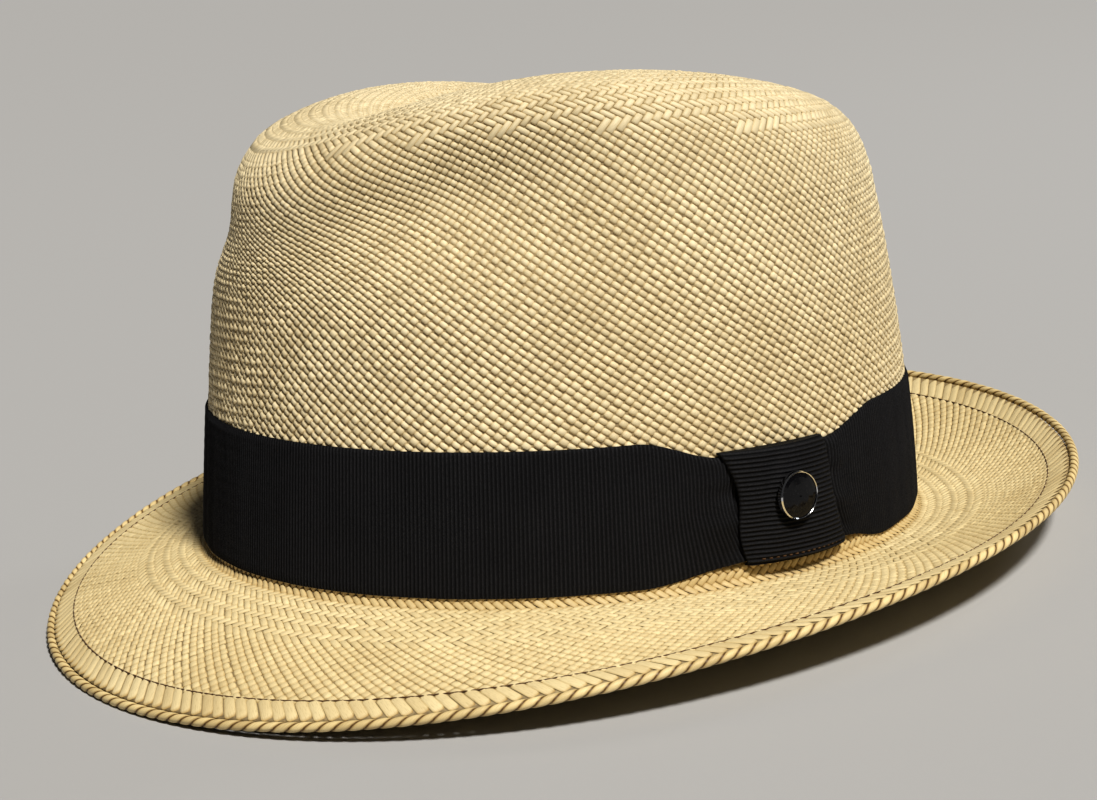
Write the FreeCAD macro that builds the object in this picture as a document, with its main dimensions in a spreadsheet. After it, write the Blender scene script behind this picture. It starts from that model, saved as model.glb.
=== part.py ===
import FreeCAD, Part
import Sketcher
import math
import os

# Panama hat: a woven straw body with a pinched teardrop crown and a snap brim, a ribbon with a
# wrapped knot on the wearer's left, a sweatband inside, and a round pin on the knot.
# Formulas work in the hat's own level frame: origin on the head axis at the break between brim
# and crown, front at -Y, the wearer's left at +X, up at +Z.  One resting placement then sets
# every piece down on the table, front rim and rear break touching.

os.makedirs("parts", exist_ok=True)
doc = FreeCAD.newDocument("panama_hat")
Vec = FreeCAD.Vector

SIZES = [
    # straw crown
    ("bandHalfLength", 103.5), ("bandHalfWidth", 86.7), ("strawThickness", 1.5),
    ("breakFillet", 2.2), ("shoulderHeight", 86.0), ("crownHeight", 123.8),
    ("wallTaper", 0.000568), ("wallBow", 0.000006), ("shoulderPower", 3.47), ("frontCrease", 5.0),
    ("creaseSpread", 52.0), ("creaseRise", 2.2), ("creaseTurn", 9.0), ("crownLean", 4.25),
    ("ridgeSlope", -0.1), ("ridgeSag", 8.3), ("ridgeTwist", 12.9), ("ridgeArch", 4.6), ("sideLift", 6.5),
    ("dentDepth", 25.8), ("dentHalfWidth", 23.8), ("dentCentre", 2.5), ("dentHalfLength", 54.7),
    ("pinchDepth", 11.7), ("pinchAngle", 43.0), ("pinchSpread", 17.0), ("pinchHeight", 100.5),
    ("pinchRise", 14.0), ("capHeight", 98.2),
    # straw brim
    ("brimHalfLength", 145.0), ("brimHalfWidth", 129.3),
    ("edgeSide", 4.6), ("edgeTilt", 18.3), ("edgeArch", 8.3), ("edgeSkew", 1.2), ("edgeCurl", 2.8),
    # rim cord and threads
    ("rimCordRadius", 1.15), ("rimCordGap", 0.1), ("hemInset", 0.86), ("hemWidth", 1.1),
    ("hemThickness", 0.5),
    # ribbon and knot
    ("ribbonLow", 2.3), ("ribbonHigh", 38.2), ("ribbonThickness", 0.75), ("ribbonGap", 0.12),
    ("ribbonSwell", 0.9), ("knotAngle", 4.4), ("knotHeight", 19.3), ("knotHalfWidth", 16.3),
    ("knotHalfHeight", 13.7), ("gatherHalfHeight", 13.3), ("gatherReach", 26.0), ("knotLean", 13.0),
    ("knotEdgeRise", 1.75), ("knotBulge", 2.35), ("knotCrown", 0.4), ("knotThickness", 0.9),
    ("stitchDrop", 11.6),
    # sweatband
    ("sweatGap", 0.4), ("sweatThickness", 1.0), ("sweatLow", 3.4), ("sweatHigh", 33.5),
    ("reedRadius", 1.15), ("reedHeight", 2.0), ("sweatThreadRadius", 0.5), ("sweatThreadHeight", 5.6),
    ("labelAngle", 180.0), ("labelHalfAngle", 9.0), ("labelLow", 12.0), ("labelHigh", 26.0),
    ("labelThickness", 0.3),
    ("bowHeight", 24.0), ("bowHalfLength", 13.0), ("bowLoopHalfHeight", 3.8),
    ("bowTieHalfHeight", 1.7), ("bowThickness", 1.8),
    # pin on the knot
    ("pinAlong", -1.2), ("pinHeight", 21.3), ("bezelRadius", 6.1), ("bezelBack", 5.6),
    ("bezelDepth", 2.1), ("bezelFloor", 0.6), ("bezelWall", 0.4), ("enamelGap", 0.05),
    ("enamelDome", 0.55), ("postRadius", 0.55), ("postTip", 1.5), ("postHoleRadius", 0.8),
    ("clutchRadius", 4.0), ("clutchFlange", 2.6), ("clutchBack", 1.05), ("clutchDepth", 2.6),
    ("clutchBoreRadius", 0.6), ("clutchBoreFloor", 0.25),
    # how the hat rests
    ("restTilt", 4.865), ("restLift", 10.45), ("restShift", -0.3),
]

sheet = doc.addObject("Spreadsheet::Sheet", "Sizes")
for row, (name, value) in enumerate(SIZES, start=1):
    sheet.set("A%d" % row, name)
    sheet.set("B%d" % row, str(value))
    sheet.setAlias("B%d" % row, name)
doc.recompute()


def size(name):
    return float(sheet.get(name))


AROUND = 96          # control points around every closed ring
TWO_PI = 2.0 * math.pi
LENGTH = size("bandHalfLength")
WIDTH = size("bandHalfWidth")
STRAW = size("strawThickness")
SHOULDER = size("shoulderHeight")
CROWN = size("crownHeight")
FILLET = size("breakFillet")


# ---------------------------------------------------------------- shape of the straw
def wall_scale(z):
    return 1.0 - size("wallTaper") * z - size("wallBow") * z * z


def smooth(t):
    t = min(max(t, 0.0), 1.0)
    return t * t * (3.0 - 2.0 * t)


def crown_point(theta, scale, z, ridge=0.0):
    """Crown surface where the plain oval has been shrunk by scale at height z, then creased."""
    c, s = math.cos(theta), math.sin(theta)
    x = scale * WIDTH * c
    y = scale * LENGTH * s - size("crownLean") * (z / 100.0) ** 2
    top = smooth((z - 0.75 * SHOULDER) / (CROWN - 0.75 * SHOULDER))
    along = y / LENGTH
    height = z + top * (size("ridgeSlope") * along - size("ridgeSag") * along ** 2
                        + size("ridgeTwist") * along ** 3 - size("ridgeArch") * along ** 4
                        + size("sideLift") * x / WIDTH)
    half = size("dentHalfWidth") * (1.0 + 0.35 * math.tanh((y + 20.0) / 45.0))
    dent = size("dentDepth") * math.exp(-abs((y - size("dentCentre")) / size("dentHalfLength")) ** 3)
    height += ridge - top * dent * math.exp(-(x / half) ** 2)
    for side in (1.0, -1.0):
        angle = math.degrees(math.atan2(y / LENGTH, side * x / WIDTH))
        turn = (angle + size("pinchAngle") + 180.0) % 360.0 - 180.0
        radius = min(math.hypot(x / WIDTH, y / LENGTH) / 0.6, 1.0)
        rise = (z - size("pinchHeight")) / size("pinchRise")
        push = size("pinchDepth") * radius ** 2 * math.exp(
            -0.5 * (turn / size("pinchSpread")) ** 2 - 0.5 * rise ** 2)
        nx, ny = x / WIDTH ** 2, y / LENGTH ** 2
        norm = math.hypot(nx, ny)
        x -= push * nx / norm
        y -= push * ny / norm
    return Vec(x, y, height)


def edge_height(s):
    return (size("edgeSide") + size("edgeTilt") * s - size("edgeArch") * s ** 2
            + size("edgeSkew") * s ** 3 + size("edgeCurl") * s ** 4)


def brim_point(theta, out):
    """Top of the brim: out is 0 at the break's fillet and 1 at the rim."""
    c, s = math.cos(theta), math.sin(theta)
    inner_x, inner_y = (WIDTH + FILLET) * c, (LENGTH + FILLET) * s
    x = inner_x + out * (size("brimHalfWidth") * c - inner_x)
    y = inner_y + out * (size("brimHalfLength") * s - inner_y)
    straight = 0.45 - 0.2 * s
    return Vec(x, y, edge_height(s) * (straight * out + (1.0 - straight) * out ** 2))


def fillet_point(theta, angle):
    """The rounded break: angle runs from 90 at the brim to 0 at the wall."""
    c, s = math.cos(theta), math.sin(theta)
    reach = FILLET * (1.0 - math.cos(math.radians(angle)))
    z = FILLET * (1.0 - math.sin(math.radians(angle)))
    k = wall_scale(FILLET)
    return Vec((k * WIDTH + reach) * c, (k * LENGTH + reach) * s, z)


def wall_point(theta, z):
    return crown_point(theta, wall_scale(z), z)


def top_point(theta, phi):
    """Over the shoulder: phi runs from 0 on the wall to a right angle at the crown's middle."""
    turn = (math.degrees(theta) + 90.0 + 180.0) % 360.0 - 180.0
    front = math.exp(-0.5 * (turn / size("creaseSpread")) ** 2)
    power = size("shoulderPower") + size("frontCrease") * front
    c, s = math.cos(phi), math.sin(phi)
    reach = (c ** power + s ** power) ** (-1.0 / power)
    z = SHOULDER + (CROWN - SHOULDER) * reach * s
    fold = math.exp(-abs(math.degrees(phi) - 45.0) / size("creaseTurn"))
    return crown_point(theta, wall_scale(z) * reach * c, z, size("creaseRise") * front * fold)


def ring(function, station):
    return [function(TWO_PI * i / AROUND, station) for i in range(AROUND)]


def straw_rows():
    """Rings of points over the hat's outside, from the rim in to the middle of the crown."""
    rows = [ring(brim_point, out) for out in
            (1.0, 0.97, 0.9, 0.8, 0.68, 0.56, 0.44, 0.33, 0.23, 0.14, 0.07, 0.02)]
    rows += [ring(fillet_point, angle) for angle in (90, 67.5, 45, 22.5, 0)]
    rows += [ring(wall_point, z) for z in (4.5, 9, 15, 22, 30, 38, 46, 54, 62, 70, 77, 83, SHOULDER)]
    steps = 38
    for i in range(1, steps):
        rows.append(ring(top_point, math.pi / 2.0 * i / steps))
    rows[-1] = [Vec(p.x, p.y, size("capHeight")) for p in rows[-1]]
    return rows


def normals(rows):
    """Unit normals of the ringed grid, pointing away from the wearer's head."""
    found = []
    last = len(rows) - 1
    for j, row in enumerate(rows):
        below, above = rows[max(j - 1, 0)], rows[min(j + 1, last)]
        line = []
        for i in range(AROUND):
            around = row[(i + 1) % AROUND] - row[i - 1]
            inward = above[i] - below[i]
            n = around.cross(inward)
            line.append(n.normalize())
        found.append(line)
    return found


# ---------------------------------------------------------------- skins and solids
def clamped(count, degree):
    inner = count - degree - 1
    return [degree + 1] + [1] * inner + [degree + 1]


def skin(rows, closed=True, degree=3, tube=False):
    """A spline face: rows run along v, the points of a row along u."""
    poles = [[row[i] for row in rows] for i in range(len(rows[0]))]
    nu, nv = len(rows[0]), len(rows)
    u_mults = [1] * (nu + 1) if closed else clamped(nu, 3)
    v_mults = [1] * (nv + 1) if tube else clamped(nv, degree)
    surface = Part.BSplineSurface()
    surface.buildFromPolesMultsKnots(
        poles, u_mults, v_mults, [float(k) for k in range(len(u_mults))],
        [float(k) for k in range(len(v_mults))], closed, tube, 3, degree)
    return surface.toShape()


def solid(faces):
    shell = Part.makeShell(faces)
    if len(faces) > 1:
        shell.sewShape()
    body = Part.makeSolid(shell)
    if body.Volume < 0:
        body.reverse()
    return body


def sheet_solid(outer, inner, closed=True):
    """A thin solid between two grids of the same size, with straight strips round its edges."""
    faces = [skin(outer, closed), skin(inner, closed)]
    faces += [skin([outer[k], inner[k]], closed, 1) for k in (0, -1)]
    if not closed:
        for k in (0, -1):
            faces.append(skin([[row[k] for row in outer], [row[k] for row in inner]], False, 1))
    return solid(faces)


def tube_solid(centres, frames, radius):
    """A closed round tube: frames gives two unit directions across the tube at each centre."""
    ribs = 12
    reach = radius * 3.0 / (2.0 + math.cos(TWO_PI / ribs))
    rows = []
    for j in range(ribs):
        a = TWO_PI * j / ribs
        rows.append([c + f[0] * (reach * math.cos(a)) + f[1] * (reach * math.sin(a))
                     for c, f in zip(centres, frames)])
    return solid([skin(rows, True, 3, True)])


def off_wall(theta, z, rise):
    """A point on the crown wall at height z, moved out by rise along the wall's normal."""
    step = 0.01
    here = wall_point(theta, z)
    around = wall_point(theta + step, z) - wall_point(theta - step, z)
    up = wall_point(theta, z + step) - wall_point(theta, z - step)
    return here + around.cross(up).normalize() * rise


def wall_ring(z, rise):
    return [off_wall(TWO_PI * i / AROUND, z, rise) for i in range(AROUND)]


def ring_frames(centres):
    """Two directions across a ring of centres: outward in plan, and square to it."""
    frames = []
    for i, c in enumerate(centres):
        along = (centres[(i + 1) % len(centres)] - centres[i - 1]).normalize()
        out = Vec(along.y, -along.x, 0.0).normalize()
        frames.append((out, along.cross(out)))
    return frames


# ---------------------------------------------------------------- straw body, rim cord, threads
def straw_body():
    outer = straw_rows()
    inner = []
    for row, line in zip(outer, normals(outer)):
        inner.append([p - n * STRAW for p, n in zip(row, line)])
    inner[-1] = [Vec(p.x, p.y, size("capHeight") - STRAW) for p in outer[-1]]
    outside, inside = skin(outer), skin(inner)
    caps = []
    for face in (outside, inside):
        ends = sorted(face.Edges, key=lambda e: e.Length)
        caps.append(Part.Face(Part.Wire([e for e in ends if e.isClosed()][0])))
    return solid([outside, inside, skin([outer[0], inner[0]], True, 1)] + caps)


def rim_cord():
    reach = size("rimCordRadius") + size("rimCordGap")
    centres = []
    for i in range(AROUND):
        t = TWO_PI * i / AROUND
        edge = brim_point(t, 1.0)
        out = (edge - brim_point(t, 0.98)).normalize()
        across = Vec(math.cos(t) / size("brimHalfWidth"), math.sin(t) / size("brimHalfLength"), 0.0)
        across.normalize()
        plan = math.hypot(out.x, out.y)
        out = Vec(across.x * plan, across.y * plan, out.z)
        below = Vec(-across.x * out.z, -across.y * out.z, plan) * (-0.5 * STRAW)
        centres.append(edge + out * reach + below)
    return tube_solid(centres, ring_frames(centres), size("rimCordRadius"))


def hem_thread():
    """The flat strand that marks the brim's hem, lying on the straw."""
    step = 0.01
    wide = size("hemWidth") / (size("brimHalfLength") - LENGTH)
    outer, inner = [], []
    for k in range(4):
        out = size("hemInset") + wide * (0.5 - k / 3.0)
        top_line, under_line = [], []
        for i in range(AROUND):
            t = TWO_PI * i / AROUND
            here = brim_point(t, out)
            around = brim_point(t + step, out) - brim_point(t - step, out)
            inward = brim_point(t, out - step) - brim_point(t, out + step)
            lift = around.cross(inward).normalize()
            under_line.append(here + lift * 0.08)
            top_line.append(here + lift * (0.08 + size("hemThickness")))
        outer.append(top_line)
        inner.append(under_line)
    return sheet_solid(outer, inner)


# ---------------------------------------------------------------- ribbon and knot
KNOT = math.radians(size("knotAngle"))
KNOT_ARC = (wall_point(KNOT + 0.01, size("knotHeight"))
            - wall_point(KNOT - 0.01, size("knotHeight"))).Length / 0.02


def along_band(theta):
    """Distance round the band from the knot's middle, forward negative."""
    turn = (theta - KNOT + math.pi) % TWO_PI - math.pi
    return turn * KNOT_ARC


def ribbon_band():
    outer, inner = [], []
    for j in range(9):
        across = j / 8.0
        top_line, under_line = [], []
        for i in range(AROUND):
            t = TWO_PI * i / AROUND
            away = abs(along_band(t))
            free = smooth((away - size("knotHalfWidth")) / size("gatherReach"))
            low = size("knotHeight") - size("gatherHalfHeight")
            high = size("knotHeight") + size("gatherHalfHeight")
            low += free * (size("ribbonLow") - low)
            high += free * (size("ribbonHigh") - high)
            z = low + (high - low) * across
            swell = size("ribbonSwell") * math.exp(-((away - size("knotHalfWidth") - 4.0) / 4.0) ** 2)
            under_line.append(off_wall(t, z, size("ribbonGap")))
            top_line.append(off_wall(t, z, size("ribbonGap") + size("ribbonThickness") + swell))
        outer.append(top_line)
        inner.append(under_line)
    return sheet_solid(outer, inner)


def knot_point(along, up, rise):
    """A point on the knot: along the band, up across it and rise out from the straw."""
    shifted = along - math.tan(math.radians(size("knotLean"))) * up
    return off_wall(KNOT + shifted / KNOT_ARC, size("knotHeight") + up, rise)


def knot_rise(along, up):
    bulge = 1.0 - (along / size("knotHalfWidth")) ** 2
    crown = 1.0 - (up / size("knotHalfHeight")) ** 2
    return size("knotEdgeRise") + size("knotBulge") * bulge + size("knotCrown") * max(crown, 0.0) * bulge


def knot_path(along, grow):
    """Control points of the wrap's section, from its upper tip over the front to its lower tip."""
    half = size("knotHalfHeight") + grow
    corner = knot_rise(along, half) + grow
    line = [knot_point(along, half, 0.3), knot_point(along, half, 0.3 + 0.5 * (corner - 0.3)),
            knot_point(along, half, corner)]
    for part in (0.87, 0.62, 0.32, 0.0, -0.32, -0.62, -0.87):
        line.append(knot_point(along, part * half, knot_rise(along, part * half) + grow))
    line += [knot_point(along, -half, corner), knot_point(along, -half, 0.3 + 0.5 * (corner - 0.3)),
             knot_point(along, -half, 0.3)]
    return line


def knot_sheet():
    steps = [size("knotHalfWidth") * (k / 6.0) for k in range(-6, 7)]
    outer = [knot_path(a, size("knotThickness")) for a in steps]
    inner = [knot_path(a, 0.0) for a in steps]
    return sheet_solid(outer, inner, False)


def knot_stitches():
    outer, inner = [], []
    base = size("knotThickness") + 0.06
    for drop in (0.0, 0.17, 0.33, 0.5):
        up = -size("stitchDrop") - drop
        stations = [size("knotHalfWidth") * 0.86 * (k / 6.0) for k in range(-6, 7)]
        inner.append([knot_point(a, up, knot_rise(a, up) + base) for a in stations])
        outer.append([knot_point(a, up, knot_rise(a, up) + base + 0.35) for a in stations])
    return sheet_solid(outer, inner, False)


# ---------------------------------------------------------------- sweatband
SWEAT_BACK = -(STRAW + size("sweatGap"))
SWEAT_FACE = SWEAT_BACK - size("sweatThickness")


def sweatband():
    low, high = size("sweatLow"), size("sweatHigh")
    levels = [low + (high - low) * k / 7.0 for k in range(8)]
    return sheet_solid([wall_ring(z, SWEAT_BACK) for z in levels],
                       [wall_ring(z, SWEAT_FACE) for z in levels])


def sweatband_reed():
    centres = wall_ring(size("reedHeight"), SWEAT_BACK - size("reedRadius"))
    return tube_solid(centres, ring_frames(centres), size("reedRadius"))


def sweatband_stitching():
    rise = SWEAT_FACE - size("sweatThreadRadius") - 0.05
    centres = wall_ring(size("sweatThreadHeight"), rise)
    return tube_solid(centres, ring_frames(centres), size("sweatThreadRadius"))


def size_label():
    middle, half = math.radians(size("labelAngle")), math.radians(size("labelHalfAngle"))
    grids = []
    for rise in (SWEAT_FACE - 0.06, SWEAT_FACE - 0.06 - size("labelThickness")):
        grid = []
        for k in range(4):
            z = size("labelLow") + (size("labelHigh") - size("labelLow")) * k / 3.0
            grid.append([off_wall(middle + half * (i / 4.0), z, rise) for i in range(-4, 5)])
        grids.append(grid)
    return sheet_solid(grids[0], grids[1], False)


def sweatband_bow():
    """A small flat bow at the rear of the sweatband: two loops that narrow to a tie."""
    half = size("bowHalfLength")
    grids = []
    for face in (0.0, 1.0):
        grid = []
        for k in range(-3, 4):
            line = []
            for i in range(-8, 9):
                along = i / 8.0
                open_up = math.sin(math.pi * min(abs(along) * 0.82 + 0.1, 1.0)) ** 2
                tall = size("bowTieHalfHeight") + open_up * (
                    size("bowLoopHalfHeight") - size("bowTieHalfHeight"))
                thick = size("bowThickness") * (0.55 + 0.45 * open_up)
                rise = SWEAT_FACE - 0.08 - face * thick
                theta = math.pi / 2.0 + half * along / LENGTH * 1.15
                line.append(off_wall(theta, size("bowHeight") + tall * k / 3.0, rise))
            grid.append(line)
        grids.append(grid)
    return sheet_solid(grids[0], grids[1], False)


# ---------------------------------------------------------------- document objects
REST = FreeCAD.Placement(
    Vec(0.0, size("restShift"), size("restLift")),
    FreeCAD.Rotation(Vec(1, 0, 0), -size("restTilt")))
finished = []


def keep(obj, label):
    obj.Label = label
    finished.append(obj)
    return obj


def formed(label, shape):
    """A sub-part whose surface is a formula: its sizes are read from the sheet."""
    obj = doc.addObject("Part::Feature", label)
    obj.Shape = shape
    obj.Placement = REST
    return obj


keep(formed("straw_body_form", straw_body()), "straw_body")
keep(formed("brim_edge_cord_form", rim_cord()), "brim_edge_cord")
keep(formed("brim_hem_thread_form", hem_thread()), "brim_hem_thread")
keep(formed("ribbon_band_form", ribbon_band()), "ribbon_band")
keep(formed("knot_stitches_form", knot_stitches()), "knot_stitches")
keep(formed("sweatband_form", sweatband()), "sweatband")
keep(formed("sweatband_reed_form", sweatband_reed()), "sweatband_reed")
keep(formed("sweatband_stitching_form", sweatband_stitching()), "sweatband_stitching")
keep(formed("size_label_form", size_label()), "size_label")
keep(formed("sweatband_bow_form", sweatband_bow()), "sweatband_bow")

# The pin's own frame: origin on the straw behind it, local Z out along the wall's normal.
PIN_THETA = KNOT + size("pinAlong") / KNOT_ARC
pin_origin = off_wall(PIN_THETA, size("pinHeight"), 0.0)
pin_out = off_wall(PIN_THETA, size("pinHeight"), 1.0) - pin_origin
pin_across = Vec(-pin_out.y, pin_out.x, 0.0).normalize()
PIN = REST.multiply(FreeCAD.Placement(
    pin_origin, FreeCAD.Rotation(pin_across, pin_out.cross(pin_across), pin_out, "ZXY")))

wrap = formed("knot_wrap_form", knot_sheet())
hole = doc.addObject("Part::Cylinder", "post_hole")
hole.setExpression("Radius", "Sizes.postHoleRadius")
hole.setExpression("Height", "Sizes.bezelBack + 4")
hole.Placement = PIN
cut_wrap = doc.addObject("Part::Cut", "knot_wrap_cut")
cut_wrap.Base = wrap
cut_wrap.Tool = hole
keep(cut_wrap, "knot_wrap")


def origin_plane(body, role):
    return [f for f in body.Origin.OriginFeatures if f.Role == role][0]


def turned_body(name, outline):
    """A PartDesign body turned about its own Z from corners (radius, height) given as formulas."""
    body = doc.addObject("PartDesign::Body", name + "_body")
    sketch = body.newObject("Sketcher::SketchObject", name + "_outline")
    sketch.AttachmentSupport = [(origin_plane(body, "XZ_Plane"), "")]
    sketch.MapMode = "FlatFace"
    corners = [Vec(2.0 + i, 2.0 + 3.0 * (i % 2), 0.0) for i in range(len(outline))]
    count = len(corners)
    for i in range(count):
        sketch.addGeometry(Part.LineSegment(corners[i], corners[(i + 1) % count]), False)
    for i in range(count):
        sketch.addConstraint(Sketcher.Constraint("Coincident", i, 2, (i + 1) % count, 1))
    for i, (radius, height) in enumerate(outline):
        for kind, formula in (("DistanceX", radius), ("DistanceY", height)):
            index = sketch.addConstraint(Sketcher.Constraint(kind, -1, 1, i, 1, 1.0 + i))
            sketch.setExpression("Constraints[%d]" % index, formula)
    turn = body.newObject("PartDesign::Revolution", name + "_turn")
    turn.Profile = sketch
    turn.ReferenceAxis = (sketch, ["V_Axis"])
    turn.Angle = 360.0
    body.Tip = turn
    body.Placement = PIN
    return body


bezel = turned_body("badge_bezel", [
    ("0 mm", "Sizes.bezelBack"),
    ("Sizes.bezelRadius - 0.5", "Sizes.bezelBack"),
    ("Sizes.bezelRadius", "Sizes.bezelBack + 0.5"),
    ("Sizes.bezelRadius", "Sizes.bezelBack + Sizes.bezelDepth - 0.4"),
    ("Sizes.bezelRadius - 0.22", "Sizes.bezelBack + Sizes.bezelDepth"),
    ("Sizes.bezelRadius - Sizes.bezelWall", "Sizes.bezelBack + Sizes.bezelDepth - 0.15"),
    ("Sizes.bezelRadius - Sizes.bezelWall", "Sizes.bezelBack + Sizes.bezelFloor"),
    ("0 mm", "Sizes.bezelBack + Sizes.bezelFloor"),
])
keep(bezel, "badge_bezel")
enamel = turned_body("badge_enamel", [
    ("0 mm", "Sizes.bezelBack + Sizes.bezelFloor + Sizes.enamelGap"),
    ("Sizes.bezelRadius - Sizes.bezelWall - Sizes.enamelGap",
     "Sizes.bezelBack + Sizes.bezelFloor + Sizes.enamelGap"),
    ("Sizes.bezelRadius - Sizes.bezelWall - Sizes.enamelGap",
     "Sizes.bezelBack + Sizes.bezelDepth - 0.35"),
    ("(Sizes.bezelRadius - Sizes.bezelWall) * 0.8",
     "Sizes.bezelBack + Sizes.bezelDepth - 0.35 + Sizes.enamelDome * 0.36"),
    ("(Sizes.bezelRadius - Sizes.bezelWall) * 0.5",
     "Sizes.bezelBack + Sizes.bezelDepth - 0.35 + Sizes.enamelDome * 0.75"),
    ("0 mm", "Sizes.bezelBack + Sizes.bezelDepth - 0.35 + Sizes.enamelDome"),
])
keep(enamel, "badge_enamel")
post = turned_body("badge_post", [
    ("0 mm", "Sizes.postTip"),
    ("Sizes.postRadius * 0.3", "Sizes.postTip"),
    ("Sizes.postRadius", "Sizes.postTip + 0.7"),
    ("Sizes.postRadius", "Sizes.bezelBack - 0.03"),
    ("0 mm", "Sizes.bezelBack - 0.03"),
])
keep(post, "badge_post")
clutch = turned_body("badge_clutch", [
    ("0 mm", "Sizes.clutchBack"),
    ("Sizes.clutchFlange", "Sizes.clutchBack"),
    ("Sizes.clutchFlange", "Sizes.clutchBack + 0.6 * Sizes.clutchDepth"),
    ("Sizes.clutchRadius", "Sizes.clutchBack + 0.6 * Sizes.clutchDepth"),
    ("Sizes.clutchRadius", "Sizes.clutchBack + Sizes.clutchDepth"),
    ("Sizes.clutchBoreRadius", "Sizes.clutchBack + Sizes.clutchDepth"),
    ("Sizes.clutchBoreRadius", "Sizes.clutchBack + Sizes.clutchBoreFloor"),
    ("0 mm", "Sizes.clutchBack + Sizes.clutchBoreFloor"),
])
keep(clutch, "badge_clutch")

doc.recompute()
for obj in finished:
    bad = [word for word in obj.State if word in ("Invalid", "Error")]
    if bad or obj.Shape.isNull() or not obj.Shape.isValid():
        raise SystemExit("%s is not sound: %s" % (obj.Label, bad))
    if not obj.Shape.Solids:
        raise SystemExit("%s has no solid" % obj.Label)
    obj.Shape.exportStep("parts/%s.step" % obj.Label)
    box = obj.Shape.BoundBox
    print("%-20s solids %d  vol %10.1f  x %.2f..%.2f  y %.2f..%.2f  z %.2f..%.2f" % (
        obj.Label, len(obj.Shape.Solids), obj.Shape.Volume,
        box.XMin, box.XMax, box.YMin, box.YMax, box.ZMin, box.ZMax))
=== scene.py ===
"""Panama hat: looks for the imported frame.  Lengths in the formulas are millimetres in the hat's own
level frame; REST_* carries them to the row frame, and every mesh is written in metres."""
import math

import bpy
import numpy as np
from mathutils import Matrix, Vector


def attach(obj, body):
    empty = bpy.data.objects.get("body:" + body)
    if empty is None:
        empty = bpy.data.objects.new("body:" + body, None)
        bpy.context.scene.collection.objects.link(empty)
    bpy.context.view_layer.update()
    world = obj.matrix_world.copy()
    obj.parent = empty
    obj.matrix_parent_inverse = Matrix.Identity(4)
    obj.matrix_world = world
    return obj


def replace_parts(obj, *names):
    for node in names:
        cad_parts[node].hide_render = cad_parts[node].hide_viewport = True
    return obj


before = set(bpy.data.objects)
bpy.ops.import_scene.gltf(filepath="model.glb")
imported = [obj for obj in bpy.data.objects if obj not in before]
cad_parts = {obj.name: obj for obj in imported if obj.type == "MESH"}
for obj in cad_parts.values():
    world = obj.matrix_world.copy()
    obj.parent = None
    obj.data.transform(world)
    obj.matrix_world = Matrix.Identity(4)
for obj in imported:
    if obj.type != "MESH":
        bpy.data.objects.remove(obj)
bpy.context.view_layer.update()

TAU = 2.0 * math.pi
IMAGE_W = 1097                    # the picture is taken to be 1097 x 800

# ------------------------------------------------------------------ the hat's own formulas, in mm
LEN, WID = 103.5, 86.7            # half length and half width of the straw at the break
SHOULDER, CROWN = 86.0, 123.8
FILLET = 2.2
BRIM_LEN, BRIM_WID = 145.0, 129.3
STRAW = 1.5
TAPER, BOW = 0.000568, 0.000006   # the wall's draw-in with height
CROWN_LEAN = 4.25
RIDGE_SLOPE, RIDGE_SAG, RIDGE_TWIST, RIDGE_ARCH, SIDE_LIFT = -0.1, 8.3, 12.9, 4.6, 6.5
DENT_DEPTH, DENT_HALF_W, DENT_AT, DENT_HALF_L = 25.8, 23.8, 2.5, 54.7
PINCH_DEPTH, PINCH_ANGLE, PINCH_SPREAD, PINCH_Z, PINCH_RISE = 11.7, 43.0, 17.0, 100.5, 14.0
SHOULDER_POWER, FRONT_CREASE, CREASE_SPREAD, CREASE_RISE, CREASE_TURN = 3.47, 5.0, 52.0, 2.2, 9.0
RIM_R, RIM_PITCH = 1.15, 3.9      # the rim cord's radius and the step of its strands
REST_TILT, REST_LIFT, REST_SHIFT = math.radians(4.865), 10.45, -0.3
ct, st = math.cos(REST_TILT), math.sin(REST_TILT)
REST = np.array([[1, 0, 0], [0, ct, st], [0, -st, ct]])
OFFSET = np.array([0.0, REST_SHIFT, REST_LIFT])


def to_row(points):
    """Level-frame millimetres to row-frame metres."""
    return (points @ REST.T + OFFSET) * 0.001


def turn_only(vectors):
    return vectors @ REST.T


def smooth(t):
    t = np.clip(t, 0.0, 1.0)
    return t * t * (3.0 - 2.0 * t)


def wall_scale(z):
    return 1.0 - TAPER * z - BOW * z * z


def crown_xyz(theta, scale, z, ridge=0.0):
    x = scale * WID * np.cos(theta)
    y = scale * LEN * np.sin(theta) - CROWN_LEAN * (z / 100.0) ** 2
    top = smooth((z - 0.75 * SHOULDER) / (CROWN - 0.75 * SHOULDER))
    along = y / LEN
    height = z + top * (RIDGE_SLOPE * along - RIDGE_SAG * along ** 2 + RIDGE_TWIST * along ** 3
                        - RIDGE_ARCH * along ** 4 + SIDE_LIFT * x / WID)
    half = DENT_HALF_W * (1.0 + 0.35 * np.tanh((y + 20.0) / 45.0))
    dent = DENT_DEPTH * np.exp(-np.abs((y - DENT_AT) / DENT_HALF_L) ** 3)
    height = height - top * dent * np.exp(-(x / half) ** 2) + ridge
    for side in (1.0, -1.0):
        angle = np.degrees(np.arctan2(y / LEN, side * x / WID))
        turn = (angle + PINCH_ANGLE + 180.0) % 360.0 - 180.0
        radius = np.minimum(np.hypot(x / WID, y / LEN) / 0.6, 1.0)
        push = PINCH_DEPTH * radius ** 2 * np.exp(-0.5 * (turn / PINCH_SPREAD) ** 2
                                                  - 0.5 * ((z - PINCH_Z) / PINCH_RISE) ** 2)
        nx, ny = x / WID ** 2, y / LEN ** 2
        norm = np.maximum(np.hypot(nx, ny), 1e-9)
        x = x - push * nx / norm
        y = y - push * ny / norm
    return np.stack([x, y, height], axis=-1)


def edge_height(s):
    return 4.6 + 18.3 * s - 8.3 * s ** 2 + 1.2 * s ** 3 + 2.8 * s ** 4


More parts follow.
